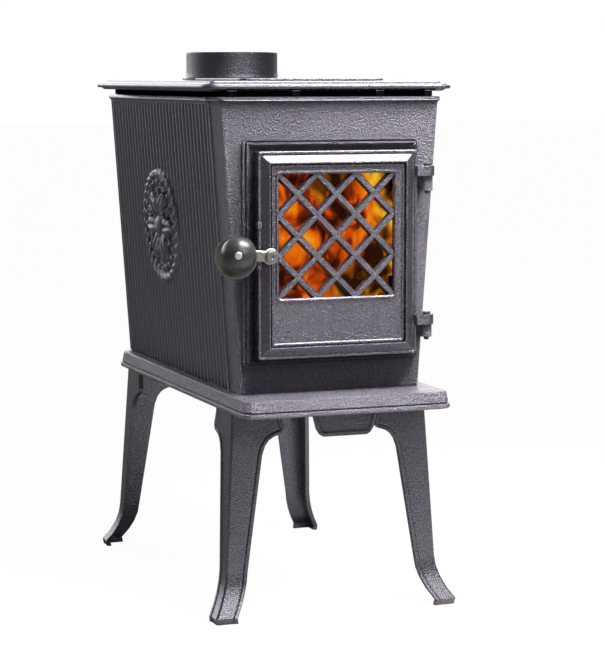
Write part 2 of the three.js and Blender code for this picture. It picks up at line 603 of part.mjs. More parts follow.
// A domed knob with a short neck, bored for its stem and countersunk for its screw.
function knob() {
  const r = KNOB.radius;
  const dome = Array.from({ length: 7 }, (_, i) => {
    const angle = THREE.MathUtils.degToRad(-6 + i * (83 / 6));
    return [r * Math.cos(angle), r * Math.sin(angle)];
  });
  const neck = [[7.2, 3], [7.2, -11.6], [9.4, -11.6], [10.2, -8.6], [18.2, -5.9]];
  const screwSeat = [[4.9, 15], [3, 15], [3, 10], [0, 10], [0, 3]];
  return turned([...neck, ...dome, ...screwSeat], KNOB.centre, KNOB_AXIS, 20);
}

const knobInsert = () => turned([[0, 10.4], [2.7, 10.4], [2.7, 15.3], [4.6, 15.3], [4.6, 20.2],
  [3.4, 21], [0, 21.2]], KNOB.centre, KNOB_AXIS, 12);

function latchScrew() {
  const front = LATCH.y - LATCH.thick - GAP;
  const head = stackRound(LATCH.x, LATCH.z, [[7.4, front], [7.4, front - 3.2], [6.4, front - 4]]);
  const shank = alongY(LATCH.x, LATCH.z, DOOR.face + 3.8, front - 0.5, 3, 8);
  return carve(fuse(head, shank), alongY(LATCH.x, LATCH.z, front - 5, front - 1, 2.6, 6));
}

// ---- Legs ----
// Free edge of one flange: distance from the outer corner against height, top to ankle.
function flangeEdge({ shoulder, shank, ankle, foot }) {
  const path = new THREE.Path();
  path.moveTo(shoulder - 6, LEG.top);
  path.lineTo(shoulder - 5.2, 243);
  path.lineTo(shoulder, 228);
  path.quadraticCurveTo(shoulder + 0.6, 220, shoulder - 8, 218.5);
  path.bezierCurveTo(shoulder - 16, 216.5, shank + 3, 213, shank, 196);
  path.lineTo(ankle, LEG.flareFrom);
  const upper = path.getPoints(4);
  const lower = [0.78, 0.56, 0.34, 0.12, 0].map((part) => new THREE.Vector2(
    THREE.MathUtils.lerp(foot, ankle, part), LEG.flareFrom * part));
  return [...upper, ...lower];
}

// How far the leg's outer corner has moved out at height z: a lean, then a flare at the foot.
function legDrift(z) {
  const t = THREE.MathUtils.clamp((LEG.flareFrom - z) / (LEG.flareFrom - LEG.flareTo), 0, 1);
  const undercut = z < 1 ? 2.2 : 0;
  return {
    x: LEG.leanX * (BASE.under - z) + LEG.flareX * t * t - undercut,
    y: LEG.leanY * (BASE.under - z) + LEG.flareY * t * t - undercut,
  };
}

// Inward normals of the edge path, level at both ends.
function edgeNormals(edge) {
  return edge.map((_, i) => {
    if (i === 0 || i === edge.length - 1) return new THREE.Vector2(-1, 0);
    const run = new THREE.Vector2().subVectors(edge[i + 1], edge[i - 1]).normalize();
    return new THREE.Vector2(run.y, -run.x);
  });
}

// One flange's section at a station, free edge last: [along the flange, out of it, height].
function flangeSection(point, normal) {
  const at = (inset, out) => [point.x + normal.x * inset, out, point.y + normal.y * inset];
  return [at(LEG.groove, 0), at(5.6, -0.9), at(LEG.bead, 1), at(0.7, 1.1), at(0, -LEG.thick)];
}

function frontRightLeg() {
  const edges = [flangeEdge(LEG_FRONT), flangeEdge(LEG_SIDE)];
  const normals = edges.map(edgeNormals);
  const loops = edges[0].map((_, i) => {
    const [front, side] = edges.map((edge, k) => flangeSection(edge[i], normals[k][i]));
    const z = front[0][2];
    const t = LEG.thick;
    const plan = [...[...front].reverse().map(([u, out, h]) => [-u, -out, h]),
      [-2, 0, z], [0, 2, z],
      ...side.map(([u, out, h]) => [out, u, h]), [-t, t, z]];
    return plan.map(([x, y, h]) => {
      const drift = legDrift(h);
      return new THREE.Vector3(LEG.cornerX + drift.x + x, LEG.frontY - drift.y + y, Math.max(h, 0));
    });
  });
  return carve(fuse(loft(loops), legLug()), upright(LEG.cornerX - LEG_BOLT_INSET,
    LEG.frontY + LEG_BOLT_INSET, 245, 260, 5, 8));
}

// Triangular lug in the top of the leg that its bolt passes through.
function legLug() {
  const plan = [[-3.5, 3.5], [-3.5, 46], [-18, 46], [-46, 18], [-46, 3.5]];
  return loft([LEG.top - 6, LEG.top].map((z) => plan.map(([x, y]) =>
    new THREE.Vector3(LEG.cornerX + x, LEG.frontY + y, z))));
}

function legBolt([x, y]) {
  const seat = LEG.top - 6 - GAP;
  return fuse(upright(x, y, seat - 6, seat, 8.5, 6), upright(x, y, seat - 1, 264, 4.5, 8));
}

// ---- Parts under the ash lip ----
function apronPlan(inset, y) {
  const slope = (APRON.halfTop - APRON.halfLow) / (BASE.under - APRON.low);
  const top = BASE_CEILING - GAP;
  const low = APRON.low + inset;
  const half = (z) => APRON.halfLow + (z - APRON.low) * slope - inset * 1.05;
  const r = Math.max(5.5 - inset, 0.8);
  const corner = (s) => [[s * half(low + 1.7 * r), low + 1.7 * r], [s * (half(low) - 0.1 * r), low + 0.5 * r],
    [s * (half(low) - r), low]];
  const topHalf = Math.min(half(top), APRON.halfTop + 1 - inset);
  return [[topHalf, top - inset], ...corner(1), ...corner(-1).reverse(), [-topHalf, top - inset]]
    .map(([x, z]) => new THREE.Vector3(x, y, z));
}

function frontApron() {
  const { y, thick } = APRON;
  const plate = loft([[0, y + thick], [0, y + 1], [0.9, y - 0.2], [4.4, y - 0.2], [5, y + 1.4],
    [6, y + 1.4], [6.8, y + 0.4]].map(([inset, depth]) => apronPlan(inset, depth)));
  const lugs = signs.map((s) => block(Math.min(s * 27, s * 41), Math.max(s * 27, s * 41),
    y + thick - 1, y + 16, 257, BASE_CEILING - GAP));
  return fuse(plate, ...lugs);
}

function airSlide() {
  const top = BASE_CEILING - GAP;
  const plate = fuse(block(-46, 46, -197.6, -177.4, 258, top), block(-7, 7, -243, -197, 258, top),
    block(-7, 7, -243, -239.5, 226, top), block(-12, 12, -243.6, -239, 224, 231));
  return carve(plate, ...airWindows(255, 265));
}

// ---- Fire-side parts ----
function floorPlate() {
  const slab = prism({ x0: -100, x1: 100, y0: -181, y1: 238, radius: 3 }, BASE.face + GAP, 278.8);
  const grooves = [-60, -30, 0, 30, 60].map((x) => block(x - 4, x + 4, -150, 210, 276, 280));
  return carve(slab, ...grooves);
}

function sideBurnPlate() {
  const thick = 8;
  const plan = (z) => {
    const outer = halfWidth(z) - WALL - 1;
    return [[outer - thick, -181], [outer, -181], [outer, 236], [outer - thick, 236]]
      .map(([x, y]) => new THREE.Vector3(x, y, z));
  };
  return loft([plan(279.1), plan(505)]);
}

function rearBurnPlate() {
  return frontPrism({ x0: -91, x1: 91, y0: 279.1, y1: 505, radius: 3 }, 244.5, 252.5);
}

// Baffle that turns the smoke forward before it reaches the flue.
function bafflePlate() {
  return fuse(prism({ x0: -120, x1: 120, y0: -80, y1: 240, radius: 4 }, 505.3, 513),
    block(-118, 118, -80, -72, 505.3, 521));
}

function logStop() {
  return fuse(block(-97, 97, -181, -175, 279.1, 312), block(-97, 97, -181, -171, 309, 318));
}

function tieRod([x, y]) {
  const seat = BASE_CEILING - GAP;
  return fuse(upright(x, y, seat - 1, 622, TIE.radius, 8), upright(x, y, seat - 5, seat, 6.3, 6));
}

// ---- Assembly ----
place('base_plate', basePlate(), IRON);
place('front_plate', frontPlate(), IRON);
const rightSide = sidePlate();
place('side_plate_right', rightSide, IRON);
place('side_plate_left', mirrored(rightSide), IRON);
place('back_plate', backPlate(), IRON);
place('outlet_cover', outletCover(), IRON);
outletBolts().forEach((at, i) => place(`outlet_bolt_${i + 1}`, outletBolt(at), DARK_STEEL));

place('top_plate', topPlate(), IRON);
place('cooking_lid', cookingLid(), IRON);
place('flue_collar', flueCollar(), IRON);
collarBolts().forEach((at, i) => place(`collar_bolt_${i + 1}`, collarBolt(at), DARK_STEEL));

place('door', door(), IRON);
HINGE_LEVELS.forEach((at) => place(`hinge_pin_${at.name}`, hingePin(at), DARK_STEEL));
place('door_rope', doorRope(), ROPE);
place('glass_pane', glassPane(), glassPaint);
signs.forEach((s) => [400, 516].forEach((z) => place(
  `glass_clip_${s < 0 ? 'left' : 'right'}_${z < 458 ? 'low' : 'high'}`, glassClip(s, z), DARK_STEEL)));

place('latch_lever', latchLever(), IRON);
place('latch_knob', knob(), DARK_STEEL);
place('latch_knob_insert', knobInsert(), STEEL);
place('latch_screw', latchScrew(), STEEL);

const rightLeg = frontRightLeg();
const rearRightLeg = mirroredFrontToBack(rightLeg, LEG.frontY + LEG.backY);
place('leg_front_right', rightLeg, IRON);
place('leg_front_left', mirrored(rightLeg), IRON);
place('leg_rear_right', rearRightLeg, IRON);
place('leg_rear_left', mirrored(rearRightLeg), IRON);
legPoints().forEach((at, i) => place(`leg_bolt_${i + 1}`, legBolt(at), DARK_STEEL));

place('front_apron', frontApron(), IRON);
place('air_slide', airSlide(), IRON);

place('floor_plate', floorPlate(), INNER_IRON);
const rightBurnPlate = sideBurnPlate();
place('burn_plate_right', rightBurnPlate, INNER_IRON);
place('burn_plate_left', mirrored(rightBurnPlate), INNER_IRON);
place('burn_plate_rear', rearBurnPlate(), INNER_IRON);
place('baffle_plate', bafflePlate(), INNER_IRON);
place('log_stop', logStop(), INNER_IRON);
tiePoints().forEach((at, i) => place(`tie_rod_${i + 1}`, tieRod(at), DARK_STEEL));

export default group;
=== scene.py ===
"""Looks of the cast-iron box stove, built round its fixed CAD frame.

Objects, lamps and textures are in metres, +Z up, and the stove's front faces -Y. Sizes of castings, logs and
flames are named in millimetres, and piece() turns them into metres.
"""
import json
import math
import bmesh
import bpy
from mathutils import Matrix, Vector, noise


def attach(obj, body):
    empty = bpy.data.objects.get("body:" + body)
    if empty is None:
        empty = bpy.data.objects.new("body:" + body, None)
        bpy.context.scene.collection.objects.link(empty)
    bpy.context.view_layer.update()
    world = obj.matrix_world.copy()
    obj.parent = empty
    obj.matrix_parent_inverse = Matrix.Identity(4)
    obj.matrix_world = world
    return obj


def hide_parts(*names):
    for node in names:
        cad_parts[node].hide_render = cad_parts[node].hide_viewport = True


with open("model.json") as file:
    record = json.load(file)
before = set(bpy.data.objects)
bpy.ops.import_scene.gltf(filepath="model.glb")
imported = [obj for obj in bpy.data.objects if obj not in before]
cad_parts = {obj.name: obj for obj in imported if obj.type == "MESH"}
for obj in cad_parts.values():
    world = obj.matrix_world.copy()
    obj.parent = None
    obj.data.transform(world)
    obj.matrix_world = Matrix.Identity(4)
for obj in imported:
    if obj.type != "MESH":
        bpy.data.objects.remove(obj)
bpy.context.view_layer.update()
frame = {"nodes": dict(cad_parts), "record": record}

NODES = frame["nodes"]
MM = 0.001

# Camera: place in metres, angles in degrees.
CAMERA_PLACE = (-0.958434, -2.626140, 0.646218)
CAMERA_TURN = 20.8363            # to the right of straight at the front
CAMERA_DOWN = 6.7962
CAMERA_LENS = 117.03
CAMERA_SENSOR = 36.0

# Body, in millimetres, as the CAD has it.
BODY_BOTTOM = 270.8
BODY_TOP = 621.5
BODY_HALF_LOW = 115.1            # half width of the body at its foot
TAPER = 0.0701                   # growth of the half width per mm of height
WALL = 6
SIDE_FRONT = -159.7
SIDE_BACK = 260.7

# Ribs of a side plate, in millimetres.
STRIP_BACK = -155.5              # back edge of the plain strip in front of the ribs
RIB_COUNT = 31
RIB_FIRST = -152                 # front edge of the first rib
RIB_PITCH = 13.2
RIB_WIDTH = 9
RIB_TOP = 613.0
RIB_STEPS = 8                    # stretches of the round back of a rib
RIB_RISE = 2.9
RIB_FOOT = 2.4                   # depth of a rib's foot below the body's face
GROOVE = 2.6                     # depth of the grooves below the body's face
GROOVE_STEP = 0.9                # flat strip beside a rib
END_STEP = 0.2                   # depth of the ribbed face's back end below the body's face
END_CHAMFER = 2
RIM_CHAMFER = 1

# Upper rim of a side plate: height below BODY_TOP and how far it stands proud, in millimetres.
SIDE_RIM = [(8.5, 0), (6.4, 0.2), (5.6, 1.2), (5.0, 2.4), (4.6, 2.8), (0.8, 1.4), (0, 0.4)]

# Bead along the front plate's upper edge, in millimetres: reach and height of its section, and then the x and
# y of its path round the right corner.
FRONT_RIM_SECTION = [(-3.0, -4.6), (0.1, -4.6), (0.45, -4.2), (-1.2, -0.9), (-1.6, -0.5), (-3.0, -0.5)]
FRONT_RIM_PATH = [(142.0, -160.2), (142.0, -199.6), (140.9, -203.3), (138.3, -205.9), (134.6, -207.0)]

# Round plaque on each side plate, in millimetres.
PLAQUE_Y = 62
PLAQUE_Z = 455
PLAQUE_SINK = 0.6                # depth of its zero height below the body's face
PLAQUE_RADIUS = 74
PLAQUE_BED = 1.4                 # height of the ground that the ornament stands on
PLAQUE_BACK = -3.0               # height of its back, inside the wall
PLAQUE_RINGS = 74
PLAQUE_SPOKES = 240
BORDER_RADIUS = 67.6
BORDER_HALF = 5.4
BORDER_START = 62.0
BORDER_RISE = 4.6
BORDER_TWISTS = 30
BEAD_COUNT = 24
BEAD_RING = 56.0
BEAD_RADIUS = 4.4
DOME_RADIUS = 14.5
DOME_BASE = 1.6
DOME_RISE = 8.6
LEAF_COUNT = 6
LEAF_RISE = 8.0
LEAF_SPAN = (12, 51, 15.5)       # inner end, outer end and half width of a leaf
BUD_RISE = 4.6
BUD_SPAN = (26, 50, 6.0)         # the same of the narrow leaf between two broad ones

# Fire, in millimetres. A log: name, x, z, radius, front, back, roll, split, seed.
LOGS = [("log_low_left", -50, 312, 31, -160, 190, 0.8, 0.35, 1.0),
        ("log_low_right", 40, 314, 33, -150, 205, 2.2, 0.4, 4.0),
        ("log_upper_right", 42, 388, 39, -158, 170, 3.9, 0.38, 7.0),
        ("log_upper_left", -40, 366, 27, -140, 200, 5.2, 0.42, 9.5)]
LOG_CORNERS = 22
LOG_LENGTHS = 14

# A sheet of flame: name, y, left, right, foot at the left and right, tip, tongues, seed, look, and then the
# share of its height that no notch cuts into and the depth of its folds.
FLAMES = [("flame_back", 60, -97, 97, (335, 420), 503, 3.6, 0.4, "deep", 0.62, 1.0),
          ("flame_middle", -20, -93, 93, (340, 430), 502, 3.2, 1.7, "mid", 0.62, 1.0),
          ("flame_front", -180, -92, 98, (338, 362), 548, 2.7, 2.9, "near", 0.96, 0.5),
          ("flame_low", -135, -93, 60, (322, 350), 430, 2.3, 1.1, "deep", 0.62, 1.0)]
FLAME_COLUMNS = 72
FLAME_ROWS = 32

# Edges of the parts that carry over from the CAD, in metres.
EDGE_WIDTH = 0.0007
WELD_GAP = 2e-5
DOOR_WELD_GAP = 1e-4             # wide enough that no stray face crosses the door's lattice

# Stage: light of the wall behind the stove, of the one behind its left and of the room itself, and the
# floor's grey, its glow to the camera and the share of that glow in what the camera sees of it.
BACK_WALL = 3.0
LEFT_WALL = 0.25
ROOM_LIGHT = 0.08
FLOOR_GREY = 0.55
FLOOR_GLOW = 1.12
FLOOR_GLOW_SHARE = 0.86

# Cast skin: scales of its bumps and of its sparkle, per metre, and its depth in metres.
SKIN_SCALE = 400.0
SPARKLE_SCALE = 900.0
SKIN_DEPTH = 0.0060
TOP_SHADE_HEIGHT = 0.6290           # height in metres under which the top plate's paint is black, as painted shade of its underside

# Colours, linear.
PAINT_DARK = (0.047, 0.041, 0.054)
PAINT_LIGHT = (0.060, 0.053, 0.069)
PAINT_PATCH = (0.039, 0.034, 0.045)
PAINT_GLINT = (0.16, 0.15, 0.18)
PAINT_EDGE_HIGHLIGHT = (0.30, 0.28, 0.32)
PAINT_HOLLOW_SHADE = (0.006, 0.005, 0.006)
PAINT_UNDERSIDE_SHADE = (0.004, 0.004, 0.004)
PAINT_SHEEN = (0.94, 0.89, 1.0)
PAINT_GLOSS = 0.8
PAINT_IOR = 1.8
ORANGE_FIRE = [(0.20, (0.020, 0.004, 0.001)), (0.36, (0.18, 0.018, 0.002)), (0.50, (0.64, 0.080, 0.003)),
               (0.66, (0.86, 0.19, 0.004)), (0.80, (0.95, 0.34, 0.008)), (0.94, (0.95, 0.62, 0.03))]
YELLOW_FIRE = [(0.20, (0.020, 0.006, 0.001)), (0.34, (0.15, 0.045, 0.003)), (0.46, (0.45, 0.17, 0.005)),
               (0.60, (0.80, 0.42, 0.012)), (0.74, (0.86, 0.58, 0.025)), (0.90, (0.95, 0.75, 0.09))]
SOOT = [(0.3, (0.006, 0.005, 0.005)), (0.62, (0.014, 0.011, 0.010)), (0.8, (0.035, 0.027, 0.022))]
EMBERS = [(0.50, (0.006, 0.001, 0)), (0.60, (0.10, 0.008, 0.001)), (0.72, (0.38, 0.035, 0.002))]


# ---------- camera ----------
def make_camera():
    data = bpy.data.cameras.new("camera")
    data.lens = CAMERA_LENS
    data.sensor_width = CAMERA_SENSOR
    data.clip_start, data.clip_end = 0.05, 50.0
    cam = bpy.data.objects.new("camera", data)
    bpy.context.scene.collection.objects.link(cam)
    cam.location = CAMERA_PLACE
    turn, down = math.radians(CAMERA_TURN), math.radians(CAMERA_DOWN)
    aim = Vector((math.sin(turn) * math.cos(down), math.cos(turn) * math.cos(down), -math.sin(down)))
    cam.rotation_mode = "QUATERNION"
    cam.rotation_quaternion = aim.to_track_quat("-Z", "Y")
    bpy.context.scene.camera = cam


# ---------- node helpers ----------
class Graph:
    """A small builder for the nodes of a new material, or of the world."""

    def __init__(self, name, world=None):
        self.material = world or bpy.data.materials.new(name)
        self.material.use_nodes = True
        self.tree = self.material.node_tree
        self.tree.nodes.clear()
        self.out = self.add("ShaderNodeOutputWorld" if world else "ShaderNodeOutputMaterial")

    def add(self, kind, **settings):
        node = self.tree.nodes.new(kind)
        inputs = settings.pop("inputs", {})
        for key, value in settings.items():
            setattr(node, key, value)
        for key, value in inputs.items():
            self.feed(node.inputs[key], value)
        return node

    def feed(self, socket, value):
        if isinstance(value, bpy.types.NodeSocket):
            self.tree.links.new(value, socket)
        else:
            socket.default_value = value

    def points(self, scale=(1, 1, 1), rotation=(0, 0, 0)):
        coords = self.add("ShaderNodeTexCoord")
        mapping = self.add("ShaderNodeMapping", inputs={
            "Vector": coords.outputs["Object"], "Scale": scale, "Rotation": rotation})
        return mapping.outputs["Vector"]

    def axes(self, output="Object"):
        """The X, Y and Z of a texture coordinate."""
        coords = self.add("ShaderNodeTexCoord")
        return self.add("ShaderNodeSeparateXYZ", inputs={0: coords.outputs[output]}).outputs

    def noise(self, vector, scale, detail=3.0, rough=0.55, distortion=0.0):
        node = self.add("ShaderNodeTexNoise", inputs={
            "Vector": vector, "Scale": scale, "Detail": detail, "Roughness": rough,
            "Distortion": distortion})
        return node.outputs["Fac"]

    def ramp(self, factor, stops):
        node = self.add("ShaderNodeValToRGB")
        elements = node.color_ramp.elements
        while len(elements) < len(stops):
            elements.new(0.5)
        for element, (place, colour) in zip(elements, stops):
            element.position = place
            element.color = (*colour, 1)
        self.feed(node.inputs["Fac"], factor)
        return node.outputs["Color"]

    def math(self, operation, a, b=0.0):
        node = self.add("ShaderNodeMath", operation=operation)
        self.feed(node.inputs[0], a)
        self.feed(node.inputs[1], b)
        return node.outputs[0]

    def span(self, value, low, high, to_low=0.0, to_high=1.0, shape="LINEAR"):
        node = self.add("ShaderNodeMapRange", interpolation_type=shape, inputs={
            "Value": value, "From Min": low, "From Max": high, "To Min": to_low, "To Max": to_high})
        return node.outputs["Result"]

    def mix(self, factor, a, b):
        node = self.add("ShaderNodeMix", data_type="RGBA")
        self.feed(node.inputs["Factor"], factor)
        self.feed(node.inputs[6], (*a, 1) if isinstance(a, tuple) else a)
        self.feed(node.inputs[7], (*b, 1) if isinstance(b, tuple) else b)
        return node.outputs[2]

    def bump(self, height, strength, distance, normal=None):
        node = self.add("ShaderNodeBump", inputs={
            "Height": height, "Strength": strength, "Distance": distance})
        if normal is not None:
            self.feed(node.inputs["Normal"], normal)
        return node.outputs["Normal"]

    def surface(self, shader):
        self.tree.links.new(shader, self.out.inputs["Surface"])
        return self.material

    def white_to_camera(self, own, white, share=1.0):
        """Shows white to camera and transmission rays, by a share, and its own shader to all other rays."""
        rays = self.add("ShaderNodeLightPath")
        seen = self.math("MAXIMUM", rays.outputs["Is Camera Ray"], rays.outputs["Is Transmission Ray"])
        mix = self.add("ShaderNodeMixShader", inputs={
            0: self.math("MULTIPLY", seen, share), 1: own.outputs[0], 2: white.outputs[0]})
        return self.surface(mix.outputs[0])

    def principled(self, **inputs):
        names = {"colour": "Base Color", "rough": "Roughness", "metal": "Metallic", "normal": "Normal",
                 "coat": "Coat Weight", "coat_rough": "Coat Roughness", "ior": "IOR",
                 "specular": "Specular IOR Level", "tint": "Specular Tint", "glow": "Emission Color",
                 "glow_strength": "Emission Strength"}
        node = self.add("ShaderNodeBsdfPrincipled")
        for key, value in inputs.items():
            if isinstance(value, tuple):
                value = (*value, 1)
            self.feed(node.inputs[names[key]], value)
        return self.surface(node.outputs["BSDF"])


def toned(colour, tone):
    return tuple(c * tone for c in colour)


# ---------- materials ----------
def painted_iron(name, tone, grain=1.0, rough=0.30, dark_below=None, rounding=0.0012, carved=0.0,
                 flat_grain=None):
    """Anthracite stove paint over a fine cast skin: a grain with painted glints, rounded edges and painted
    shade in hollows.

    dark_below is the height in metres under which the paint goes black, as painted shade of an underside.
    carved is how strongly sharp edges are painted bright, as a painted highlight; where it is set, creases
    are also painted dark, as painted shade. flat_grain is the grain of faces that look straight to the front
    or back, where it is another than the rest's.
    """
    g = Graph(name)
    p = g.points(rotation=(0.5, 0.3, 0.2))       # turned, so that no flat face lies along the noise's grid
    broad = g.noise(p, 9.0, 4.0)
    patch = g.noise(p, 42.0, 3.0)
    coarse = g.noise(p, SKIN_SCALE, 2.0, 0.55)
    fine = g.noise(p, SPARKLE_SCALE, 2.0, 0.6)
    base = g.mix(g.span(broad, 0.35, 0.65), toned(PAINT_DARK, tone), toned(PAINT_LIGHT, tone))
    base = g.mix(g.span(patch, 0.3, 0.75, 0.0, 0.3), base, toned(PAINT_PATCH, tone))
    # Painted glints: the finest specks of the skin are painted lighter.
    base = g.mix(g.span(fine, 0.56, 0.72, 0.0, 0.5 * min(1.0, grain)), base, PAINT_GLINT)
    # Painted highlight on sharp edges and painted shade in creases, read from the mesh's pointiness.
    if carved:
        edge = g.add("ShaderNodeNewGeometry").outputs["Pointiness"]
        base = g.mix(g.span(edge, 0.51, 0.60, 0.0, carved), base, PAINT_EDGE_HIGHLIGHT)
        base = g.mix(g.span(edge, 0.49, 0.42, 0.0, 0.8), base, PAINT_HOLLOW_SHADE)
    # Painted shade: the colour goes dark where ambient occlusion finds a hollow.
    ao_shade = g.add("ShaderNodeAmbientOcclusion", samples=6, inputs={"Distance": 0.006}).outputs["AO"]
    base = g.mix(g.span(ao_shade, 0.35, 0.85), PAINT_HOLLOW_SHADE, base)
    shine = g.span(fine, 0.3, 0.7, rough - 0.06, rough + 0.06)
    gloss = PAINT_GLOSS
    # Painted shade: under dark_below the paint is black and without gloss, where an underside lies in shadow.
    if dark_below is not None:
        lit = g.span(g.axes()["Z"], dark_below - 0.001, dark_below)
        base = g.mix(lit, PAINT_UNDERSIDE_SHADE, base)
        gloss = g.math("MULTIPLY", lit, PAINT_GLOSS)
    height = g.math("ADD", coarse, g.math("MULTIPLY", fine, 0.8))
    round_edge = g.add("ShaderNodeBevel", samples=8, inputs={"Radius": rounding}).outputs["Normal"]
    strength = 1.0
    if flat_grain is not None:
        geometry = g.add("ShaderNodeNewGeometry")
        facing = g.add("ShaderNodeSeparateXYZ", inputs={0: geometry.outputs["True Normal"]})
        forward = g.math("ABSOLUTE", facing.outputs["Y"])
        strength = g.span(forward, 0.97, 0.995, grain / flat_grain, 1.0)
        grain = flat_grain
    normal = g.bump(height, strength, SKIN_DEPTH * grain, round_edge)
    return g.principled(colour=base, rough=shine, normal=normal, specular=gloss, ior=PAINT_IOR,
                        tint=PAINT_SHEEN)


def sooty_iron(name):
    """Iron that the fire has covered with dull soot."""
    g = Graph(name)
    p = g.points()
    colour = g.ramp(g.noise(p, 26.0, 5.0, 0.65), SOOT)
    normal = g.bump(g.noise(p, 420.0, 4.0), 0.5, 0.002)
    return g.principled(colour=colour, rough=0.9, specular=0.2, normal=normal)


def steel(name, colour, rough):
    """Bare metal with a faint mottle and fine scratches."""
    g = Graph(name)
    p = g.points()
    tint = g.mix(g.noise(p, 300.0), colour, toned(colour, 0.72))
    normal = g.bump(g.noise(p, 1500.0, 2.0), 0.15, 0.0006)
    return g.principled(colour=tint, rough=rough, metal=0.95, normal=normal)


def phenolic(name):
    """Hard dark plastic of the knob, with a thin polish."""
    g = Graph(name)
    p = g.points()
    tint = g.mix(g.noise(p, 160.0), (0.028, 0.027, 0.030), (0.045, 0.043, 0.046))
    normal = g.bump(g.noise(p, 900.0, 2.0), 0.12, 0.0006)
    return g.principled(colour=tint, rough=0.34, normal=normal, coat=0.25, coat_rough=0.3)


def rope_weave(name):
    """Braided fibre, with slanting strands."""
    g = Graph(name)
    wave = g.add("ShaderNodeTexWave", wave_type="BANDS", bands_direction="DIAGONAL", inputs={
        "Vector": g.points(), "Scale": 160.0, "Distortion": 2.0})
    colour = g.mix(wave.outputs["Fac"], (0.16, 0.15, 0.14), (0.30, 0.29, 0.27))
    return g.principled(colour=colour, rough=0.95, normal=g.bump(wave.outputs["Fac"], 0.7, 0.002))


def clear_glass(name):
    """A clear pane with a weak reflection, a little uneven with smoke."""
    g = Graph(name)
    smoke = g.noise(g.points(), 14.0, 4.0)
    clear = g.add("ShaderNodeBsdfTransparent", inputs={"Color": (0.97, 0.95, 0.92, 1)})
    gloss = g.add("ShaderNodeBsdfPrincipled", inputs={
        "Base Color": (0.02, 0.018, 0.016, 1), "Roughness": g.span(smoke, 0.3, 0.7, 0.03, 0.09)})
    mix = g.add("ShaderNodeMixShader", inputs={0: 0.03, 1: clear.outputs[0], 2: gloss.outputs[0]})
    return g.surface(mix.outputs[0])


def fire_look(name, seed, bright):
    """Burning gas: swirls from dark brown through deep orange to yellow, glowing by itself.

    It is yellower towards the right, and darker low at the right.
    """
    g = Graph(name)
    p = g.points(scale=(1.0, 1.0, 0.75), rotation=(0, seed * 0.3, seed))
    sway = g.add("ShaderNodeTexNoise", inputs={"Vector": p, "Scale": 15.0, "Detail": 2.0})
    shift = g.add("ShaderNodeVectorMath", operation="MULTIPLY_ADD", inputs={
        0: sway.outputs["Color"], 1: (0.06, 0.06, 0.06), 2: p})
    body = g.span(g.noise(shift.outputs[0], 24.0, 2.0, 0.5, 0.5), 0.28, 0.78)
    licks = g.math("SUBTRACT", g.noise(shift.outputs[0], 52.0, 2.0, 0.5, 1.0), 0.5)
    heat = g.math("ADD", body, g.math("MULTIPLY", licks, 0.7))
    place = g.axes()
    right = g.span(place["X"], -0.03, 0.08)
    low = g.span(place["Z"], 0.46, 0.40)
    shade = g.math("MULTIPLY", g.math("MULTIPLY", right, low), 0.34)
    heat = g.math("ADD", g.math("SUBTRACT", heat, shade), bright)
    pick = g.math("ADD", g.noise(p, 11.0, 1.0), g.math("MULTIPLY", right, 0.40))
    colour = g.mix(g.span(pick, 0.66, 0.76), g.ramp(heat, ORANGE_FIRE), g.ramp(heat, YELLOW_FIRE))
    return g.principled(colour=(0.01, 0.004, 0.002), rough=1.0, specular=0.0, glow=colour,
                        glow_strength=1.0)


def charred_wood(name):
    """Split firewood burning: brown wood and black char, with dull red embers."""
    g = Graph(name)
    grain = g.noise(g.points(scale=(1, 0.25, 1)), 90.0, 5.0, 0.65)
    char = g.noise(g.points(), 22.0, 4.0, 0.6)
    ember = g.noise(g.points(), 46.0, 3.0, 0.6)
    wood = g.mix(grain, (0.040, 0.018, 0.008), (0.15, 0.068, 0.028))
    colour = g.mix(g.span(char, 0.40, 0.58), wood, (0.010, 0.008, 0.008))
    normal = g.bump(g.math("ADD", grain, ember), 0.8, 0.004)
    return g.principled(colour=colour, rough=0.9, normal=normal, glow=g.ramp(ember, EMBERS),
                        glow_strength=1.0)


# ---------- mesh helpers ----------
def smooth(mesh, angle=38.0):
    """Smooth shading, with edges sharper than the angle in degrees kept sharp."""
    mesh.polygons.foreach_set("use_smooth", [True] * len(mesh.polygons))
    mesh.set_sharp_from_angle(angle=math.radians(angle))


def paint(obj, material):
    obj.data.materials.clear()
    obj.data.materials.append(material)


def piece(name, verts, faces, material, body, angle):
    """One new object of the stove, from points in millimetres, on its CAD body."""
    mesh = bpy.data.meshes.new(name)
    mesh.from_pydata([tuple(c * MM for c in v) for v in verts], [], faces)
    fix = bmesh.new()
    fix.from_mesh(mesh)
    bmesh.ops.recalc_face_normals(fix, faces=fix.faces)
    fix.to_mesh(mesh)
    fix.free()
    smooth(mesh, angle)
    obj = bpy.data.objects.new(name, mesh)
    bpy.context.scene.collection.objects.link(obj)
    paint(obj, material)
    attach(obj, body)
    return obj


def skin(loops):
    """Points and faces of a closed body over a stack of loops with equal counts, capped at both ends."""
    count = len(loops[0])
    faces = []
    for i in range(len(loops) - 1):
        a, b = i * count, (i + 1) * count
        faces += [(a + j, a + (j + 1) % count, b + (j + 1) % count, b + j) for j in range(count)]
    last = (len(loops) - 1) * count
    faces += [tuple(range(count)), tuple(range(last, last + count))]
    return [v for loop in loops for v in loop], faces


def join(*parts):
    """Several (points, faces) sets as one."""
    verts, faces = [], []
    for points, polygons in parts:
        shift = len(verts)
        verts += points
        faces += [tuple(i + shift for i in f) for f in polygons]
    return verts, faces


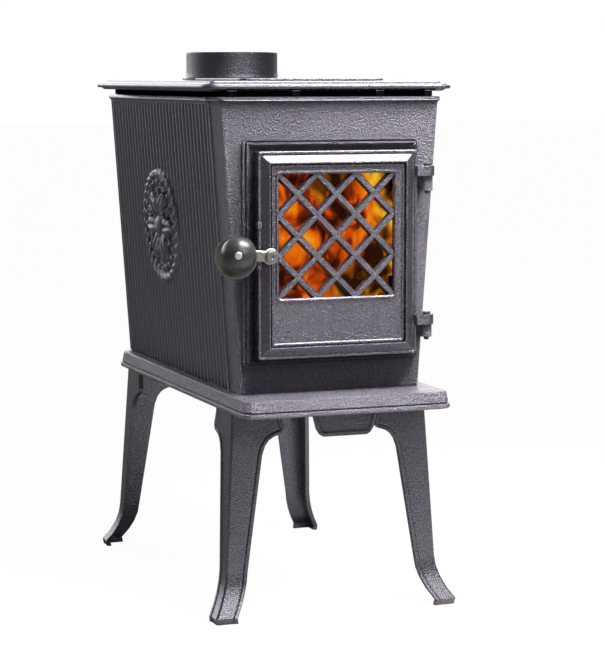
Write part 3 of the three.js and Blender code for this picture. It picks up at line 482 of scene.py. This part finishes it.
def soften(obj, weld_gap):
    """Rounds the cast edges of a node and shades its curves smooth. Its own vertices stay as they are."""
    weld = obj.modifiers.new("weld", "WELD")
    weld.merge_threshold = weld_gap
    flat = obj.modifiers.new("flat", "DECIMATE")
    flat.decimate_type = "DISSOLVE"
    flat.angle_limit = math.radians(0.6)
    bevel = obj.modifiers.new("edge", "BEVEL")
    bevel.width = EDGE_WIDTH
    bevel.segments = 2
    bevel.limit_method = "ANGLE"
    bevel.angle_limit = math.radians(24.0)
    bevel.harden_normals = False
    bevel.use_clamp_overlap = True
    even = obj.modifiers.new("even", "WEIGHTED_NORMAL")
    even.keep_sharp = True
    smooth(obj.data)


# ---------- stage ----------
def make_world():
    """A dim room with a lit wall behind the stove and a weaker one behind its left; white to the camera."""
    world = bpy.data.worlds.new("world")
    bpy.context.scene.world = world
    g = Graph("world", world)
    ray = g.axes("Generated")
    flat = g.add("ShaderNodeCombineXYZ", inputs={"X": ray["X"], "Y": ray["Y"]})
    level = g.add("ShaderNodeVectorMath", operation="NORMALIZE", inputs={0: flat.outputs[0]})

    def wall(towards, strength):
        """Light from a broad patch of the room on one side, brightest in its middle."""
        dot = g.add("ShaderNodeVectorMath", operation="DOT_PRODUCT",
                    inputs={0: level.outputs[0], 1: Vector(towards).normalized()})
        return g.span(dot.outputs["Value"], 0.45, 1.0, 0.0, strength, "SMOOTHSTEP")

    walls = g.math("ADD", wall((0, 1, 0), BACK_WALL), wall((-1, 1, 0), LEFT_WALL))
    from_floor = g.math("MULTIPLY", walls, g.span(ray["Z"], 0.0, 0.1, 0.0, 1.0, "SMOOTHSTEP"))
    to_edge = g.math("MULTIPLY", from_floor, g.span(ray["Z"], 0.35, 0.5, 1.0, 0.0, "SMOOTHSTEP"))
    room = g.add("ShaderNodeBackground", inputs={
        "Color": (0.97, 0.98, 1.0, 1), "Strength": g.math("ADD", to_edge, ROOM_LIGHT)})
    white = g.add("ShaderNodeBackground", inputs={"Color": (1, 1, 1, 1)})
    g.white_to_camera(room, white)


def make_floor():
    """A pale matt floor, nearly white to the camera, that keeps the stove's shadow."""
    bpy.ops.mesh.primitive_plane_add(size=40, location=(0, 6, -0.0005))
    floor = bpy.context.object
    floor.name = "floor"
    g = Graph("floor_pale")
    matt = g.add("ShaderNodeBsdfDiffuse", inputs={"Color": (FLOOR_GREY, FLOOR_GREY, FLOOR_GREY, 1)})
    glow = g.add("ShaderNodeEmission", inputs={"Color": (1, 1, 1, 1), "Strength": FLOOR_GLOW})
    paint(floor, g.white_to_camera(matt, glow, FLOOR_GLOW_SHARE))


def lamp(name, place, aim, size, power, spread=180.0):
    """A soft rectangular lamp: place, aim and size in metres, power in watts, spread in degrees."""
    data = bpy.data.lights.new(name, "AREA")
    data.shape = "RECTANGLE"
    data.size, data.size_y = size
    data.energy = power
    data.spread = math.radians(spread)
    obj = bpy.data.objects.new(name, data)
    bpy.context.scene.collection.objects.link(obj)
    obj.location = place
    obj.rotation_mode = "QUATERNION"
    obj.rotation_quaternion = (Vector(aim) - Vector(place)).to_track_quat("-Z", "Y")
    obj.visible_camera = False


def make_lights():
    """One lamp overhead and three in front. The first aims a hair off plumb, so that it lies along X."""
    lamp("overhead", (0.27, -0.40, 1.05), (0.27, -0.4001, 0.4), (0.7, 0.3), 11.0, 115)
    lamp("softbox", (0.55, -1.5, 2.0), (0, -0.2, 0.55), (0.7, 0.7), 3)
    lamp("high_front", (0.3, -2.2, 2.0), (0, 0, 0.4), (1.4, 1.0), 16)
    lamp("low_front", (0.5, -1.2, 0.8), (0.05, -0.25, 0.22), (0.8, 0.25), 0.4, 45)


# ---------- side plates ----------
def half_width(z):
    """Half width of the body at a height."""
    return BODY_HALF_LOW + (z - BODY_BOTTOM) * TAPER


def ribbed_plan(z):
    """Plan of the right side plate at a height: a thin wall with round-backed ribs on its outer face."""
    half = half_width(z)
    path = [(half - WALL, SIDE_FRONT), (half, SIDE_FRONT), (half, STRIP_BACK)]
    for i in range(RIB_COUNT):
        y = RIB_FIRST + RIB_PITCH * i
        path.append((half - GROOVE, y - GROOVE_STEP))
        for k in range(RIB_STEPS + 1):
            across = k / RIB_STEPS
            crown = RIB_RISE * math.sin(math.pi * across) ** 0.7
            path.append((half - RIB_FOOT + crown, y + RIB_WIDTH * across))
        path.append((half - GROOVE, y + RIB_WIDTH + GROOVE_STEP))
    path.append((half - END_STEP, SIDE_BACK - END_CHAMFER - END_STEP))
    return path + [(half - END_CHAMFER, SIDE_BACK), (half - WALL, SIDE_BACK)]


def rim_plan(z, proud):
    """Plan of the right side plate's rim at a height, standing proud of the body's face."""
    half = half_width(z)
    return [(half - WALL, SIDE_FRONT), (half + proud, SIDE_FRONT), (half + proud, SIDE_BACK - RIM_CHAMFER),
            (half + proud - RIM_CHAMFER, SIDE_BACK), (half - WALL, SIDE_BACK)]


def side_plate(side, relief):
    """Ribbed side casting with its rim, and a carved plaque. side is 1 at the right and -1 at the left."""
    def level(plan, z):
        return [(side * x, y, z) for x, y in plan]

    ribbed = skin([level(ribbed_plan(z), z) for z in (BODY_BOTTOM, RIB_TOP)])
    heights = [(BODY_TOP - below, proud) for below, proud in SIDE_RIM]
    band = skin([level(rim_plan(z, proud), z) for z, proud in heights])
    name = "side_right" if side > 0 else "side_left"
    plate = piece(name + "_casting", *join(ribbed, band), SIDE_IRON, "stove_body", 50)
    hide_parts("side_plate_" + ("right" if side > 0 else "left"))

    verts, faces = relief
    lean = Matrix.Rotation(math.atan(TAPER), 4, "Y")
    centre = Vector((half_width(PLAQUE_Z) - PLAQUE_SINK, PLAQUE_Y, PLAQUE_Z))
    placed = [lean @ Vector((z, x, y)) + centre for x, y, z in verts]
    placed = [(side * v.x, v.y, v.z) for v in placed]
    plaque = piece(name + "_plaque", placed, faces, PLAQUE_IRON, "stove_body", 60)


def front_rim():
    """Bead with a sloping face along the upper edge of the front plate and round its two corners."""
    path = [(-x, y) for x, y in FRONT_RIM_PATH] + FRONT_RIM_PATH[::-1]
    loops = []
    for i, (x, y) in enumerate(path):
        before, after = path[max(i - 1, 0)], path[min(i + 1, len(path) - 1)]
        along = Vector((after[0] - before[0], after[1] - before[1])).normalized()
        out = Vector((along.y, -along.x))
        loop = [(x + out.x * reach, y + out.y * reach, BODY_TOP + up) for reach, up in FRONT_RIM_SECTION]
        loops.append(loop)
    rim = piece("front_plate_rim", *skin(loops), RIM_IRON, "stove_body", 60)


# ---------- plaque ----------
def off_axis(angle, count):
    """Angle from the nearest of a number of spokes, even round the circle."""
    step = 2 * math.pi / count
    return (angle + step / 2) % step - step / 2


def leaf(angle, r, start, end, width):
    """Height of one ring of carved leaves at a polar point, 0 to 1, with a groove down the middle."""
    along = (r - start) / (end - start)
    if not 0 < along < 1:
        return 0.0
    half = width * math.sin(math.pi * along ** 0.8) ** 0.7 * (1 + 0.10 * math.sin(along * 16))
    across = abs(off_axis(angle, LEAF_COUNT)) * r / max(half, 0.01)
    if across >= 1:
        return 0.0
    swell = (1 - across ** 2.6) ** 0.6 * (0.5 + 0.5 * math.sin(math.pi * along))
    return max(0.0, swell - 0.45 * math.exp(-(across / 0.16) ** 2))


def carved_height(r, angle):
    """Height of the plaque's face at a polar point, in millimetres."""
    height = min(PLAQUE_BED, PLAQUE_RADIUS - r)
    if r > BORDER_START:
        twist = 0.5 + 0.5 * math.sin(BORDER_TWISTS * angle + r * 0.5)
        arch = math.sqrt(max(0.0, 1 - ((r - BORDER_RADIUS) / BORDER_HALF) ** 2))
        height += BORDER_RISE * arch * (0.55 + 0.45 * twist)
    off = off_axis(angle, BEAD_COUNT) * r
    bead = 1 - (off ** 2 + (r - BEAD_RING) ** 2) / BEAD_RADIUS ** 2
    if bead > 0:
        height += BEAD_RADIUS * math.sqrt(bead)
    height += LEAF_RISE * leaf(angle, r, *LEAF_SPAN)
    height += BUD_RISE * leaf(angle + math.pi / LEAF_COUNT, r, *BUD_SPAN)
    if r < DOME_RADIUS:
        height = max(height, DOME_BASE + DOME_RISE * math.sqrt(1 - (r / DOME_RADIUS) ** 2))
    return height


def carving():
    """Round plaque as a height field: a dome, broad leaves, a ring of beads and a twisted border."""
    turns = [2 * math.pi * j / PLAQUE_SPOKES for j in range(PLAQUE_SPOKES)]
    loops = []
    for i in range(PLAQUE_RINGS + 1):
        r = max(PLAQUE_RADIUS * i / PLAQUE_RINGS, 0.4)
        loops.append([(r * math.cos(a), r * math.sin(a), carved_height(r, a)) for a in turns])
    back = [(PLAQUE_RADIUS * math.cos(a), PLAQUE_RADIUS * math.sin(a), PLAQUE_BACK) for a in turns]
    return skin(loops + [back])


# ---------- fire ----------
def split_log(name, x, z, radius, front, back, roll, split, seed):
    """A log lying front to back: a rough trunk, split flatter along one side."""
    loops = []
    for i in range(LOG_LENGTHS + 1):
        along = i / LOG_LENGTHS
        y = front + (back - front) * along
        grow = 1 - 0.10 * abs(2 * along - 1) ** 6
        loop = []
        for k in range(LOG_CORNERS):
            angle = 2 * math.pi * k / LOG_CORNERS
            r = radius * (1 - split * max(0.0, math.cos(angle)) ** 3) * grow
            bark = Vector((math.cos(angle) * 1.7, along * 5, math.sin(angle) * 1.7 + seed))
            r *= 1 + 0.16 * noise.noise(bark)
            loop.append((x + r * math.cos(angle + roll), y, z + r * math.sin(angle + roll)))
        loops.append(loop)
    return piece(name, *skin(loops), WOOD, "stove_body", 34)


def flame(name, y, left, right, feet, high, tongues, seed, look, fill, folds):
    """A sheet of flame: thin, folded front to back, with its upper edge drawn out in tongues."""
    front, back = [], []
    for i in range(FLAME_COLUMNS + 1):
        across = i / FLAME_COLUMNS
        x = left + (right - left) * across
        low = feet[0] + (feet[1] - feet[0]) * across * across * (3 - 2 * across)
        peak = abs(math.sin(math.pi * across * tongues + seed)) ** 0.7
        peak *= 0.72 + 0.28 * math.sin(5 * across + seed * 2)
        reach = low + (high - low) * (fill + (1 - fill) * peak)
        for j in range(FLAME_ROWS + 1):
            up = j / FLAME_ROWS
            z = low + (reach - low) * up
            lean = 9 * up * math.sin(seed + 7 * across) + 5 * math.sin(9 * up + 11 * across + seed)
            fold = folds * (12 * math.sin(14 * across + 4 * up + seed) + 5 * math.sin(31 * across + 9 * up))
            thick = 1.1 * math.sin(math.pi * min(1.0, up + 0.06)) + 0.15
            front.append((x + lean * 0.4, y + fold - thick, z))
            back.append((x + lean * 0.4, y + fold + thick, z))

    def at(i, j):
        return i * (FLAME_ROWS + 1) + j

    sheet = len(front)
    last, top = FLAME_COLUMNS, FLAME_ROWS
    faces = []
    for i in range(last):
        for j in range(top):
            a, b, c, d = at(i, j), at(i + 1, j), at(i + 1, j + 1), at(i, j + 1)
            faces += [(a, b, c, d), (sheet + a, sheet + d, sheet + c, sheet + b)]
    for i in range(last):
        faces.append((at(i, 0), sheet + at(i, 0), sheet + at(i + 1, 0), at(i + 1, 0)))
        faces.append((at(i, top), at(i + 1, top), sheet + at(i + 1, top), sheet + at(i, top)))
    for j in range(top):
        faces.append((at(0, j), at(0, j + 1), sheet + at(0, j + 1), sheet + at(0, j)))
        faces.append((at(last, j), sheet + at(last, j), sheet + at(last, j + 1), at(last, j + 1)))
    return piece(name, front + back, faces, FIRE[look], "stove_body", 180)


# ---------- the scene ----------
make_camera()
bpy.context.scene.view_settings.view_transform = "Standard"
make_world()
make_floor()
make_lights()

# The tones make lighter and darker copies of the one stove paint, as painted light and shade: the base plate
# is painted much lighter, the plain castings and the plaques a little lighter, and the top, door, legs,
# collar and side plates darker.
IRON = painted_iron("stove_iron", 1.15)
TOP_IRON = painted_iron("top_iron", 0.60, 0.06, 0.25, dark_below=TOP_SHADE_HEIGHT)
DOOR_IRON = painted_iron("door_iron", 0.72, 0.05, 0.25, rounding=0.0011, flat_grain=0.2)
LEG_IRON = painted_iron("leg_iron", 0.70, 0.06, 0.25)
LIT_BASE_IRON = painted_iron("lit_base_iron", 1.8, 0.35, 0.26)
SMOOTH_IRON = painted_iron("smooth_iron", 0.8, 0.1, 0.22)
SIDE_IRON = painted_iron("side_iron", 0.7, 0.10, 0.22, rounding=0.0004, carved=0.3)
RIM_IRON = painted_iron("rim_iron", 1.0, 0.05, 0.20, rounding=0.0004)
PLAQUE_IRON = painted_iron("plaque_iron", 1.2, 0.15, 0.24, rounding=0.0004, carved=0.8)
FIRE_IRON = sooty_iron("fire_iron")
BRIGHT_CAP = steel("bright_cap", (0.93, 0.93, 0.96), 0.55)
WORN_STEEL = steel("worn_steel", (0.46, 0.43, 0.40), 0.40)
WOOD = charred_wood("burning_wood")
FIRE = {"deep": fire_look("fire_deep", 1.0, 0.02), "mid": fire_look("fire_mid", 2.2, 0.01),
        "near": fire_look("fire_near", 3.7, 0.0)}

SLOT_LOOKS = {
    "iron": IRON,
    "fire_iron": FIRE_IRON,
    "steel": steel("bright_screw", (0.40, 0.39, 0.41), 0.36),
    "dark_steel": steel("blackened_steel", (0.09, 0.088, 0.095), 0.42),
    "knob": phenolic("knob_phenolic"),
    "rope": rope_weave("seal_rope"),
    "glass": clear_glass("stove_glass"),
}
OWN_LOOKS = {
    "top_plate": TOP_IRON,
    "cooking_lid": TOP_IRON,
    "flue_collar": SMOOTH_IRON,
    "door": DOOR_IRON,
    "base_plate": LIT_BASE_IRON,
    "latch_knob_insert": BRIGHT_CAP,
    "latch_lever": WORN_STEEL,
}
for end in ("front", "rear"):
    for hand in ("left", "right"):
        OWN_LOOKS["leg_" + end + "_" + hand] = LEG_IRON
for hand in ("left", "right"):
    for level in ("low", "high"):
        OWN_LOOKS["glass_clip_" + hand + "_" + level] = FIRE_IRON

for part in frame["record"]["subparts"]:
    name = part["node"]
    node = NODES[name]
    paint(node, OWN_LOOKS.get(name, SLOT_LOOKS[part["material_slot"]]))
    if name == "air_slide":
        smooth(node.data)        # a rounding of its thin bars would leave stray faces
    else:
        soften(node, DOOR_WELD_GAP if name == "door" else WELD_GAP)

relief = carving()
side_plate(1, relief)
side_plate(-1, relief)
front_rim()
for row in LOGS:
    split_log(*row)
for row in FLAMES:
    flame(*row)
